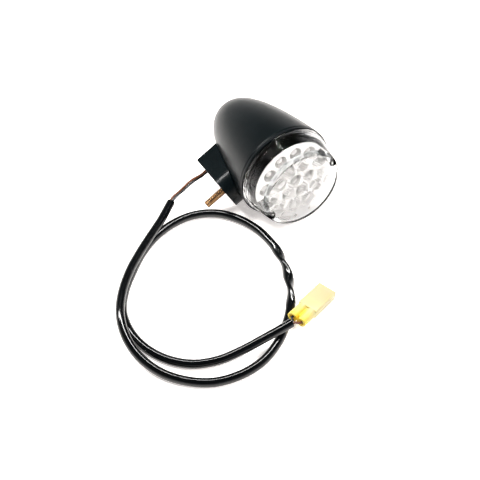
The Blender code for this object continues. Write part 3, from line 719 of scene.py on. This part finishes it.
def wire_route(side, path, local):
    """One lead's whole way: out of the stem, through the sleeve and into its barrel of the connector."""
    offset = WIRE_SPACING * side
    exit_y = WIRE_HOLE_Y + offset
    leaving = [LAMP @ Vector((-STEM_END - x * MM, exit_y, WIRE_HOLE_Z)) for x in (-2.6, 0.4, 2.4)]
    inward = (path[1] - path[0]).normalized()
    beside = Vector((inward.y, -inward.x, 0)).normalized()
    between = (LAMP.to_3x3().col[1] + beside).normalized()
    aside = beside * offset
    bending = [Vector(point) * MM + way * offset for point, way in zip(WIRE_BEND, (between, beside))]
    arriving = [path[0] - inward * back * MM + aside for back in (2.6, 0.4)]
    within = []
    first = atan2(side * aside.dot(local[0][2]), side * aside.dot(local[0][1]))
    outward = (path[-1] - path[-2]).normalized()
    last_aside = Vector((outward.y, -outward.x, 0)).normalized() * offset
    last = atan2(side * last_aside.dot(local[-1][2]), side * last_aside.dot(local[-1][1]))
    count = 40
    for k in range(1, count):
        i = round(k * (len(path) - 1) / count)
        turn = first + (last - first) * k / count
        _, across, up = local[i]
        within.append(path[i] + (across * cos(turn) + up * sin(turn)) * offset)
    ending = [path[-1] + outward * ahead * MM + last_aside for ahead in (0.4, 1.8)]
    rear = -CONNECTOR_LENGTH / 2
    entering = [CONNECTOR @ Vector((x * MM + rear, -side * POLE_OFFSET, 0)) for x in (-0.6, 1.6, 4.4)]
    return smooth_path([*leaving, *bending, *arriving, *within, *ending, *entering], CORD_STEP)


def make_wires(path, local):
    """Both leads, each a cord in its own right."""
    for name, side in (("brown", 1), ("black", -1)):
        route = wire_route(side, path, local)
        work = bmesh.new()
        sweep(work, route, lambda i, turn: WIRE_RADIUS, 14)
        wire = f"wire_{name}"
        hidden = [wire, f"wire_tail_{name}"]
        piece = finish_piece(f"lead_{name}", work, wire, IN_PLACE, replaces=hidden, sharp=60)


def rounded_box(work, low, high, radius, segments=3, edges=None):
    """A box with rounded edges, in millimetres; edges may name the axis of the only edges to round."""
    low = Vector(low) * MM
    high = Vector(high) * MM
    size = Matrix.Diagonal((*(high - low), 1.0))
    made = bmesh.ops.create_cube(work, size=1.0, matrix=Matrix.Translation((low + high) / 2) @ size)
    chosen = {e for v in made["verts"] for e in v.link_edges}
    if edges is not None:
        axis = "xyz".index(edges)
        chosen = {e for e in chosen if abs((e.verts[0].co - e.verts[1].co).normalized()[axis]) > 0.9}
    bevel(work, list(chosen), radius * MM, segments)


def rod(work, radius, low, high, segments, matrix):
    """A plain round bar along z, in millimetres."""
    bmesh.ops.create_cone(
        work,
        cap_ends=True,
        segments=segments,
        radius1=radius * MM,
        radius2=radius * MM,
        depth=(high - low) * MM,
        matrix=matrix @ Matrix.Translation((0, 0, (low + high) / 2 * MM)),
    )


def make_connector():
    """Two-way housing: a block with two mating slots, and a round-cornered barrel for each lead."""
    front = CONNECTOR_LENGTH / 2 / MM
    wide = CONNECTOR_WIDTH / 2 / MM
    high = CONNECTOR_HEIGHT / 2 / MM
    pole = POLE_OFFSET / MM
    half = BARREL_WIDTH / 2 / MM + 0.2
    tall = high - 0.1
    neck = BARREL_LENGTH / MM - front

    def block(work):
        rounded_box(work, (neck, -wide, -high), (front, wide, high), 0.55, 3)

    def barrel(work, side):
        y = side * pole
        low = (-front, y - half, -tall)
        rounded_box(work, low, (neck + 1.5, y + half, tall), 2.75, 8, edges="x")

    def web(work):
        rounded_box(work, (-front + 2.5, -1.0, -1.5), (neck + 1.0, 1.0, 1.5), 0.2, 1)

    def bores(work):
        for side in (-1, 1):
            at = Matrix.Translation((0, side * POLE_OFFSET, 0)) @ Z_TO_X
            rod(work, 1.3, -front - 1, 0.0, 24, at)
            rod(work, 1.75, -front - 1, -front + 0.9, 24, at)

    def slots(work):
        for side in (-1, 1):
            y = side * pole
            rounded_box(work, (-1.0, y - 1.7, -1.1), (front + 1, y + 1.7, 1.1), 0.15, 1)

    def windows(work):
        for side in (-1, 1):
            y = side * pole
            rounded_box(work, (4.2, y - 0.9, -high - 1), (8.6, y + 0.9, 0.9 - high), 0.2, 1)

    steps = [("UNION", helper("cut_web", web))]
    for side in (-1, 1):
        steps.append(("UNION", helper(f"cut_barrel_{side + 1}", barrel, side)))
    steps += [
        ("DIFFERENCE", helper("cut_bores", bores)),
        ("DIFFERENCE", helper("cut_slots", slots)),
        ("DIFFERENCE", helper("cut_windows", windows)),
    ]
    mesh = carve("connector_shell", helper("connector_base", block), steps)
    return finish_piece(
        "connector_shell", mesh, "connector_yellow", CONNECTOR, replaces=["connector_housing"], sharp=35
    )


connector = make_connector()
sleeve, sleeve_line, sleeve_length, sleeve_frames = make_sleeve()
make_wires(sleeve_line, sleeve_frames)

# ---------------- housing, stem and stud


def bullet_radius(z, radius=RIM_RADIUS, length=HOUSING_LENGTH):
    """The bullet's radius at a height."""
    return radius * (1 - (-z / length) ** BULLET_P) ** (1 / BULLET_Q)


def bullet(radius, length, top, count=44):
    """Fine profile of the bullet, from the height top to the nose."""
    points = []
    for i in range(count + 1):
        share = cos(pi / 2 * i / count) ** 0.55
        z = -length * (1 - share**BULLET_Q) ** (1 / BULLET_P)
        if z < top:
            points.append((radius * share, z))
    return [(bullet_radius(top, radius, length), top), *points]


def make_housing():
    """A hollow bullet with a fine groove just behind its rim and a seat for lens and gasket in it."""
    groove = bullet_radius(-1.55 * MM)
    outside = bullet(RIM_RADIUS, HOUSING_LENGTH, -2.6 * MM)
    inside = bullet(RIM_RADIUS - WALL, HOUSING_LENGTH - WALL, -SEAT_DEPTH, 30)
    lip = [
        (SEAT_RADIUS, -SEAT_DEPTH),
        (SEAT_RADIUS, 0.0),
        (RIM_RADIUS, 0.0),
        (groove, -1.55 * MM),
        (groove - 0.25 * MM, -1.7 * MM),
        (groove - 0.25 * MM, -2.15 * MM),
    ]
    lip = fillet(lip, {1: 0.15, 2: 0.5, 3: 0.2, 4: 0.1}, 4)
    profile = inside[::-1] + lip + outside
    turned("housing_shell", profile, 192, "housing_black", replaces=["housing"], sharp=50)


def stem_at(z, y):
    """The frame of something that runs down the stem from the lamp's axis: its z is the stem's way."""
    return LAMP @ Matrix.Translation((0, y, z)) @ Matrix.Rotation(-pi / 2, 4, "Y")


def make_stem():
    """A D-shaped block, cut to the bullet's shape, with a bore for the bolt and one for the leads."""

    def block(work):
        arc = [radians(-90 + 180 * i / 40) for i in range(41)]
        outline = [(STUD_Z + STEM_HALF_WIDTH * cos(a), STEM_HALF_WIDTH * sin(a)) for a in arc]
        outline += [(STEM_BACK, STEM_HALF_WIDTH), (STEM_BACK, -STEM_HALF_WIDTH)]
        prism(work, outline, STEM_START, STEM_END)
        rim = [e for e in work.edges if all(v.co.z > 30 * MM for v in e.verts)]
        corners = [e for e in work.edges if all(v.co.x < STEM_BACK + MM for v in e.verts) and e not in rim]
        corners = [e for e in corners if abs((e.verts[0].co - e.verts[1].co).z) > MM]
        bevel(work, rim + corners, 0.8 * MM, 4)

    def saddle(work):
        gap = 0.35 * MM
        outside = bullet(RIM_RADIUS + gap, HOUSING_LENGTH + gap, -0.5 * MM, 36)
        revolve(work, [(0.0, 1 * MM), (RIM_RADIUS + gap, 1 * MM), *outside], 128)
        bmesh.ops.transform(work, matrix=Z_TO_X, verts=work.verts)

    wire_hole = Matrix.Translation((WIRE_HOLE_Z, WIRE_HOLE_Y, 0))

    def bores(work):
        rod(work, STUD_BORE, 10, 40, 32, Matrix.Translation((STUD_Z, 0, 0)))
        rod(work, WIRE_HOLE_RADIUS, 10, 40, 32, wire_hole)

    mouth = helper("cut_mouth", rod, WIRE_MOUTH_RADIUS, WIRE_MOUTH_FLOOR, 40, 40, wire_hole)
    mesh = carve(
        "stem_block",
        helper("stem_base", block),
        [
            ("DIFFERENCE", helper("cut_saddle", saddle)),
            ("DIFFERENCE", helper("cut_bores", bores)),
            ("DIFFERENCE", mouth),
        ],
    )
    piece = finish_piece("stem_block", mesh, "stem_black", stem_at(0, 0), replaces=["stem"], sharp=35)
    piece.modifiers.new("flat_faces", "WEIGHTED_NORMAL").keep_sharp = True


def thread(work, low, high, radius, pitch, depth):
    """A screw thread along z that fades out over the last turn at its tip."""
    sides = 28
    rows = ceil((high - low) / (pitch / 10))
    taper = 0.7 * MM
    rings = []
    for j in range(rows + 1):
        z = low + (high - low) * j / rows
        tip = min(1.0, (high - z) / taper)
        ring = []
        for k in range(sides):
            turn = 2 * pi * k / sides
            phase = (z / pitch - k / sides) % 1.0
            crest = abs(2 * phase - 1)
            groove = depth * min(1.0, max(0.0, (crest - 0.12) / 0.7))
            r = radius - groove - (1 - tip) * taper
            ring.append(work.verts.new((r * cos(turn), r * sin(turn), z)))
        rings.append(ring)
    for a, b in zip(rings, rings[1:]):
        bridge(work, a, b)
    work.faces.new(rings[0])
    work.faces.new(rings[-1])


def make_bolt():
    """The threaded stud that stands out of the stem, and the bolt's shank and hex head inside."""
    work = bmesh.new()
    thread(work, 30 * MM, STUD_END, STUD_RADIUS, 0.8 * MM, 0.16 * MM)
    rod(work, STUD_RADIUS / MM - 0.1, 23.0, 31.0, 28, IN_PLACE)
    bmesh.ops.create_cone(
        work,
        cap_ends=True,
        segments=6,
        radius1=4.6 * MM,
        radius2=4.6 * MM,
        depth=3.4 * MM,
        matrix=Matrix.Translation((0, 0, 21.7 * MM)),
    )
    place = stem_at(STUD_Z, 0)
    finish_piece("stud_thread", work, "zinc_yellow", place, replaces=["mounting_bolt"], sharp=60)


def ring_profile(inner, outer, seam, top, bottom, round_top):
    """A rounded rectangle that starts and ends at a seam on its inner side."""
    corners = [(inner, seam), (inner, top), (outer, top), (outer, bottom), (inner, bottom), (inner, seam)]
    return fillet(corners, {1: round_top, 2: round_top, 3: 0.2, 4: 0.2})[:-1]


def make_rings():
    """The grommet round the leads and the gasket under the lens."""
    turned(
        "grommet_ring",
        ring_profile(2.0 * MM, 3.1 * MM, 34.9 * MM, STEM_END - 0.2 * MM, 33.9 * MM, 0.45),
        48,
        "seal_rubber",
        closed=True,
        matrix=stem_at(WIRE_HOLE_Z, WIRE_HOLE_Y),
        replaces=["wire_grommet"],
    )
    gap = 0.3 * MM
    profile = ring_profile(GASKET_BORE, SEAT_RADIUS - gap, -2 * MM, -1.1 * MM, -SEAT_DEPTH + gap, 0.4)
    turned("gasket_ring", profile, 128, "seal_rubber", closed=True, replaces=["rim_gasket"])


make_housing()
make_stem()
make_bolt()
make_rings()

# ---------------- lens and its screws


def at_screws(work, radius, low, high, segments, inward=0.0):
    """A rod at each lens screw, or that far inward of it, in millimetres."""
    for side in (-1, 1):
        rod(work, radius, low, high, segments, Matrix.Translation((side * (SCREW_X - inward * MM), 0, 0)))


def lens_outline():
    """The lens's section, from the middle of its face round the rim to the edge of its inner face."""
    return [
        (0.0, LENS_HEIGHT),
        (8.0 * MM, LENS_HEIGHT - 0.07 * MM),
        (16.0 * MM, LENS_HEIGHT - 0.27 * MM),
        (24.6 * MM, LENS_HEIGHT - 0.65 * MM),
        (26.7 * MM, LENS_HEIGHT - 2.0 * MM),
        (30.0 * MM, 1.7 * MM),
        (30.9 * MM, 1.6 * MM),
        (30.9 * MM, 0.35 * MM),
        (29.9 * MM, 0.35 * MM),
        (29.9 * MM, -0.8 * MM),
        (27.9 * MM, -0.8 * MM),
        (27.9 * MM, 1.5 * MM),
        (25.2 * MM, LENS_HEIGHT - 3.9 * MM),
        (LENS_FACE_RADIUS, LENS_HEIGHT - LENS_FACE_DEPTH),
    ]


def cushion(x, y):
    """Depth of the pattern on the inside of the lens's face: a shallow round cushion over each LED."""
    nearest = min(hypot(x - a, y - b) for a, b in led_places())
    return CUSHION_DEPTH * max(0.0, 1 - (nearest / CUSHION_RADIUS) ** 2)


def make_lens():
    """The clear lens: its inner face is pressed into cushions, and two wells with holes take the screws."""
    work = bmesh.new()
    outline = fillet(lens_outline(), {3: 1.2, 4: 1.6, 5: 0.5, 6: 0.25, 7: 0.25, 10: 0.3, 12: 0.8, 13: 0.5}, 5)
    reach = LENS_FACE_RADIUS
    face = [(reach - reach * i / 64, LENS_HEIGHT - LENS_FACE_DEPTH) for i in range(1, 65)]
    rings = revolve(work, outline + face, 200)
    for ring in rings[len(outline) :]:
        for v in ring:
            r = hypot(v.co.x, v.co.y)
            edge = min(1.0, (reach - r) / (1.0 * MM))
            v.co.z += 0.2 * MM * (1 - (r / reach) ** 2) - edge * cushion(v.co.x, v.co.y)
    base = solid(work, "lens_base")

    def envelope(work):
        shape = [(max(0.0, r - 0.1 * MM), z - 0.1 * MM) for r, z in lens_outline()[:6]]
        revolve(work, [*shape, (29.5 * MM, 0.0), (0.0, 0.0)], 128)

    well_floor = WELL_FLOOR / MM
    wells = helper("cut_wells", at_screws, WELL_RADIUS / MM, WELL_FOOT / MM, 24, 40)
    bores = helper("cut_bores", at_screws, WELL_BORE / MM, well_floor, 24, 40)
    holes = helper("cut_holes", at_screws, 1.6, 0, well_floor + 1.6, 24)
    clipped = carve("well_walls", wells, [("INTERSECT", helper("cut_envelope", envelope))])
    walls = add_object("cut_walls", clipped)
    mesh = carve("lens_glass", base, [("UNION", walls), ("DIFFERENCE", bores), ("DIFFERENCE", holes)])
    finish_piece("lens_glass", mesh, "lens_clear", LAMP, "lens_cover", replaces=["lens"], sharp=30)


def make_lens_screws():
    """Each lens screw: a domed head with a cross recess, and a threaded shank below it."""
    under = WELL_FLOOR + 0.3 * MM
    top = under + 2.0 * MM
    shank_top = under - 0.5 * MM
    for side, x in (("left", -SCREW_X), ("right", SCREW_X)):
        head = fillet(
            [
                (0.0, top),
                (2.35 * MM, top),
                (2.35 * MM, under),
                (1.1 * MM, under),
                (1.1 * MM, under - 0.6 * MM),
            ],
            {1: 1.1, 2: 0.15},
            5,
        )

        def body(work):
            revolve(work, [*head, (0.0, under - 0.6 * MM)], 40)

        def arm(work, turn):
            rounded_box(work, (-1.35, -0.32, 0), (1.35, 0.32, 3), 0.1, 1)
            place = Matrix.Translation((0, 0, top - 1.1 * MM)) @ Matrix.Rotation(turn, 4, "Z")
            bmesh.ops.transform(work, matrix=place, verts=work.verts)

        arms = [("DIFFERENCE", helper("cut_arm", arm, turn)) for turn in (0.6, 0.6 + pi / 2)]
        mesh = carve("screw_head", helper("screw_base", body), arms)
        work = bmesh.new()
        work.from_mesh(mesh)
        bpy.data.meshes.remove(mesh)
        shank = bmesh.new()
        thread(shank, 0.0, shank_top + 3.6 * MM, 1.15 * MM, 0.7 * MM, 0.2 * MM)
        flip = Matrix.Translation((0, 0, shank_top)) @ Matrix.Rotation(pi, 4, "X")
        bmesh.ops.transform(shank, matrix=flip, verts=shank.verts)
        absorb(work, shank)
        finish_piece(
            f"lens_screw_{side}_fine",
            work,
            "screw_black",
            LAMP @ Matrix.Translation((x, 0, 0)),
            f"screw_{side}",
            replaces=[f"lens_screw_{side}"],
        )


make_lens()
make_lens_screws()

# ---------------- what shows through the lens


def make_carrier():
    """The black ring round the insert, with room for the lens's wells and a boss for each screw."""
    top = REFLECTOR_TOP - 1.0 * MM
    profile = [
        (25.0 * MM, 4 * MM),
        (25.0 * MM, top),
        (26.4 * MM, top),
        (27.5 * MM, 0.0),
        (27.5 * MM, -8.0 * MM),
        (25.8 * MM, -8.0 * MM),
        (23.3 * MM, -4.0 * MM),
        (23.3 * MM, -0.6 * MM),
        (25.0 * MM, -0.6 * MM),
        (25.0 * MM, 4 * MM),
    ]
    ring = fillet(profile, {1: 0.2, 2: 0.4})

    mesh = carve(
        "carrier_wall",
        helper("carrier_base", revolve, ring[:-1], 160, True),
        [
            ("DIFFERENCE", helper("cut_room", at_screws, WELL_RADIUS / MM + 0.35, 2.9, 12, 40)),
            ("UNION", helper("cut_bosses", at_screws, 2.3, -6, 2.6, 32, 0.7)),
            ("DIFFERENCE", helper("cut_bores", at_screws, 1.45, -9, 5, 24)),
        ],
    )
    finish_piece("carrier_wall", mesh, "carrier_black", replaces=["lens_carrier"], sharp=30)


def make_reflector():
    """A disc with a flared bowl for each LED and a notch at each screw."""

    def disc(work):
        under_flange = REFLECTOR_TOP - 0.7 * MM
        shape = [
            (0.0, REFLECTOR_TOP),
            (REFLECTOR_FLANGE, REFLECTOR_TOP),
            (REFLECTOR_FLANGE, under_flange),
            (REFLECTOR_RADIUS, under_flange),
            (REFLECTOR_RADIUS, REFLECTOR_BOTTOM),
            (0.0, REFLECTOR_BOTTOM),
        ]
        revolve(work, fillet(shape, {1: 0.25, 2: 0.15, 3: 0.3}), 160)

    def bowls(work):
        depth = REFLECTOR_TOP - REFLECTOR_BOTTOM
        flare = BOWL_RADIUS - BOWL_FLOOR_RADIUS
        profile = [(0.0, REFLECTOR_BOTTOM - MM), (BOWL_FLOOR_RADIUS - 0.1 * MM, REFLECTOR_BOTTOM - MM)]
        for i in range(9):
            t = i / 8
            profile.append((BOWL_FLOOR_RADIUS + flare * t**0.7, REFLECTOR_BOTTOM + depth * t))
        profile += [(BOWL_RADIUS + 0.35 * MM, REFLECTOR_TOP + 0.3 * MM), (0.0, REFLECTOR_TOP + 0.3 * MM)]
        for x, y in led_places():
            revolve(work, profile, 36, matrix=Matrix.Translation((x, y, 0)))

    def notches(work):
        for side in (-1, 1):
            edge = [(NOTCH_APEX, 0.0), (19.5 * MM, 5.0 * MM), (28 * MM, 6.9 * MM)]
            outline = edge + [(x, -y) for x, y in edge[:0:-1]]
            prism(work, [(side * x, y) for x, y in outline], 0.0, 12 * MM)
            upright = [e for e in work.edges if abs(e.verts[0].co.z - e.verts[1].co.z) > MM]
            bevel(work, [e for e in upright if e.verts[0].co.x * side > 0], 1.2 * MM, 4)

    mesh = carve(
        "reflector_bowls",
        helper("reflector_base", disc),
        [("DIFFERENCE", helper("cut_bowls", bowls)), ("DIFFERENCE", helper("cut_notches", notches))],
    )
    finish_piece("reflector_bowls", mesh, "reflector_silver", replaces=["reflector"], sharp=30)


def make_leds():
    """Each LED's dome, and in it the cup with its chip and the post beside it."""
    bottom = BOARD_TOP + 0.3 * MM
    shoulder = bottom + 0.8 * MM
    dome_centre = 5.7 * MM
    collar = LED_RADIUS + 0.25 * MM
    turns = [pi / 2 * i / 12 for i in range(13)]
    dome = [(LED_RADIUS * sin(turn), dome_centre + LED_RADIUS * cos(turn)) for turn in turns]
    base = [(LED_RADIUS, shoulder), (collar, shoulder), (collar, bottom), (0.0, bottom)]
    cup = [(0.0, 5.3), (0.55, 5.3), (1.05, 5.9), (1.15, 5.9), (1.0, 5.1), (0.35, 4.2), (0.3, 1.9), (0.0, 1.9)]
    chip = [(0.0, 5.75), (0.35, 5.68), (0.62, 5.5), (0.56, 5.32), (0.0, 5.32)]
    frames_work = bmesh.new()
    chips_work = bmesh.new()
    for i, (x, y) in enumerate(led_places()):
        name = f"led_{i + 1:02d}"
        turned(
            f"{name}_dome",
            fillet([*dome, *base], {13: 0.1, 14: 0.15}, 2),
            32,
            "led_epoxy",
            matrix=LAMP @ Matrix.Translation((x, y, 0)),
            replaces=[name],
        )
        turn = atan2(y, x) + 0.8
        spot = Matrix.Translation((x, y, 0)) @ Matrix.Rotation(turn, 4, "Z")
        cup_place = spot @ Matrix.Translation((-0.45 * MM, 0, 0))
        revolve(frames_work, [(r * MM, z * MM) for r, z in cup], 16, matrix=cup_place)
        post = bmesh.new()
        rounded_box(post, (0.95, -0.28, 1.9), (1.45, 0.28, 5.6), 0.08, 1)
        bmesh.ops.transform(post, matrix=spot, verts=post.verts)
        absorb(frames_work, post)
        revolve(chips_work, [(r * MM, z * MM) for r, z in chip], 14, matrix=cup_place)
    finish_piece("led_lead_frames", frames_work, "led_frame_silver", slot="led_epoxy")
    finish_piece("led_chips", chips_work, "led_chip_amber", slot="led_epoxy")


make_carrier()
make_reflector()
make_leds()

# CAD nodes that are shown as they are, with a material each
KEPT = {
    "circuit_board": "board_white",
    "resistor_1": "component_body",
    "resistor_2": "component_body",
    "diode": "carrier_black",
    "bolt_washer": "zinc_yellow",
    "stem_screw_1": "screw_steel",
    "stem_screw_2": "screw_steel",
    "inner_wire_brown": "wire_brown",
    "inner_wire_black": "wire_black",
    "terminal_brown": "terminal_brass",
    "terminal_black": "terminal_brass",
}
for node, material in KEPT.items():
    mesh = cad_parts[node].data
    mesh.materials.clear()
    mesh.materials.append(MATERIALS[material])

# ---------------- floor and light


def make_stage():
    mesh = bpy.data.meshes.new("floor")
    half = 6.0
    corners = [(-half, -half, 0), (half, -half, 0), (half, half, 0), (-half, half, 0)]
    mesh.from_pydata(corners, [], [(0, 1, 2, 3)])
    mesh.materials.append(MATERIALS["floor_white"])
    ground = add_object("floor", mesh)


def area_light(name, place, target, size, power, colour):
    data = bpy.data.lights.new(name, "AREA")
    data.shape = "RECTANGLE"
    data.size, data.size_y = size
    data.energy = power
    data.color = colour
    light = add_object(name, data)
    light.location = Vector(place)
    light.rotation_euler = (Vector(target) - Vector(place)).to_track_quat("-Z", "Y").to_euler()
    return light


def make_light():
    """A room that is white low down and dark above, two broad lamps and a narrow strip close overhead."""
    scene = bpy.context.scene
    world = bpy.data.worlds.new("studio")
    world.use_nodes = True
    tree = world.node_tree
    background = tree.nodes["Background"]
    background.inputs["Color"].default_value = (1.0, 1.0, 1.0, 1.0)
    sky = tree.nodes.new("ShaderNodeTexCoord")
    height = tree.nodes.new("ShaderNodeSeparateXYZ")
    strength = tree.nodes.new("ShaderNodeMapRange")
    strength.interpolation_type = "SMOOTHSTEP"
    for key, value in (("From Min", 0.1), ("From Max", 0.5), ("To Min", 1.2), ("To Max", 0.04)):
        strength.inputs[key].default_value = value
    tree.links.new(sky.outputs["Generated"], height.inputs[0])
    tree.links.new(height.outputs["Z"], strength.inputs["Value"])
    tree.links.new(strength.outputs[0], background.inputs["Strength"])
    scene.world = world
    target = (-0.02, -0.03, 0.02)
    warm_white = (1.0, 0.975, 0.94)
    for name, place, power in (("key", (-0.6, 0.55, 1.0), 15.0), ("front", (0.25, -0.6, 0.9), 9.0)):
        light = area_light(name, place, target, (0.4, 0.4), power, warm_white)
        light.visible_glossy = False
    area_light("strip", (-0.045, 0.09, 0.34), (-0.08, 0.03, 0.0), (0.55, 0.022), 2.6, (1.0, 0.99, 0.98))
    scene.view_settings.view_transform = "Standard"
    scene.view_settings.look = "None"
    scene.view_settings.exposure = 0.0


make_stage()
make_light()
